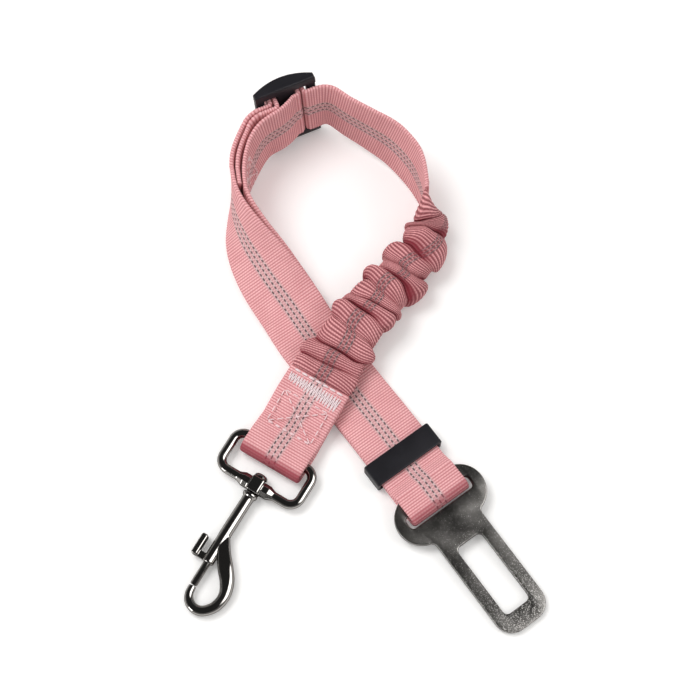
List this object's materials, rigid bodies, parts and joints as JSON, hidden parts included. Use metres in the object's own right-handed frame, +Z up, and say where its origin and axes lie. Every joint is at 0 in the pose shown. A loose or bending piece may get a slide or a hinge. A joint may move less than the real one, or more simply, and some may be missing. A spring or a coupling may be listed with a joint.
{
  "type": "pet seat-belt tether",
  "caption": "Pink webbing pet car tether with a gathered bungee, swivel trigger snap, seat-belt tongue, three-bar adjuster and keeper.",
  "frame": {"origin": "bottom centre of the bounding box, on the table", "axes": "+Z up from the table, +Y from the hook end towards the adjuster, +X to the side the tongue lies on"},
  "size_m": [0.128, 0.2068, 0.0345],
  "materials": {
    "pink_webbing": "ribbed nylon webbing with three grey lines",
    "pink_sleeve": "gathered webbing",
    "white_thread": "sewing thread",
    "white_elastic": "woven elastic",
    "black_acetal": "moulded",
    "nickel_plated_steel": "dark nickel plate",
    "bright_nickel": "bright nickel plate"
  },
  "bodies": {
    "strap": {"under_run": "pink_webbing", "top_run": "pink_webbing", "tongue_fold": "pink_webbing", "under_turn": "pink_webbing", "top_turn": "pink_webbing", "slide_pass": "pink_webbing", "right_lead": "pink_webbing", "right_run": "pink_webbing", "bungee_sleeve": "pink_sleeve", "elastic_band": "white_elastic", "bungee_top_bartack": "white_thread"},
    "adjuster": {"tri_glide": "black_acetal", "sewn_loop": "pink_webbing", "tail_box_stitch": "white_thread"},
    "keeper": {"keeper_loop": "black_acetal"},
    "tongue": {"seat_belt_tongue": "nickel_plated_steel"},
    "hook_end": {"hook_loop": "pink_webbing", "hook_box_stitch": "white_thread", "hook_bartack": "white_thread"},
    "eye": {"swivel_eye": "bright_nickel"},
    "hook": {"hook_body": "bright_nickel", "swivel_rivet": "bright_nickel", "bolt_spring": "bright_nickel"},
    "trigger": {"bolt": "bright_nickel", "thumb_trigger": "bright_nickel"}
  },
  "joints": [
    {"name": "bungee_stretch", "type": "slide", "parent": "strap", "child": "hook_end", "axis": [-0.515, -0.8572, 0], "range_m": [0, 0.08], "stiffness_N_per_m": 150, "deforming": ["bungee_sleeve", "elastic_band"]},
    {"name": "eye_swing", "type": "hinge", "parent": "hook_end", "child": "eye", "pos_m": [-0.03158, -0.03771, 0.00385], "axis": [0.8572, -0.515, 0], "range_deg": [-110, 110]},
    {"name": "hook_swivel", "type": "hinge", "parent": "eye", "child": "hook", "pos_m": [-0.03158, -0.03771, 0.00385], "axis": [-0.5149, -0.857, -0.0211], "continuous": true},
    {"name": "trigger_slide", "type": "slide", "parent": "hook", "child": "trigger", "axis": [0.5149, 0.857, 0.0211], "range_m": [0, 0.008], "stiffness_N_per_m": 300, "deforming": ["bolt_spring"]},
    {"name": "tongue_swing", "type": "hinge", "parent": "strap", "child": "tongue", "pos_m": [0.02349, -0.0525, 0.0048], "axis": [0.8059, 0.592, 0], "range_deg": [-70, 70], "deforming": ["tongue_fold"]},
    {"name": "keeper_slide", "type": "slide", "parent": "strap", "child": "keeper", "axis": [-0.592, 0.8059, 0], "range_m": [-0.003, 0.009]},
    {"name": "adjuster_travel", "type": "hinge", "parent": "strap", "child": "adjuster", "pos_m": [-0.0139, 0.0609, 0.0174], "axis": [0, 0, 1], "range_deg": [-12, 20], "deforming": ["under_turn", "top_turn", "slide_pass", "right_lead"]}
  ]
}
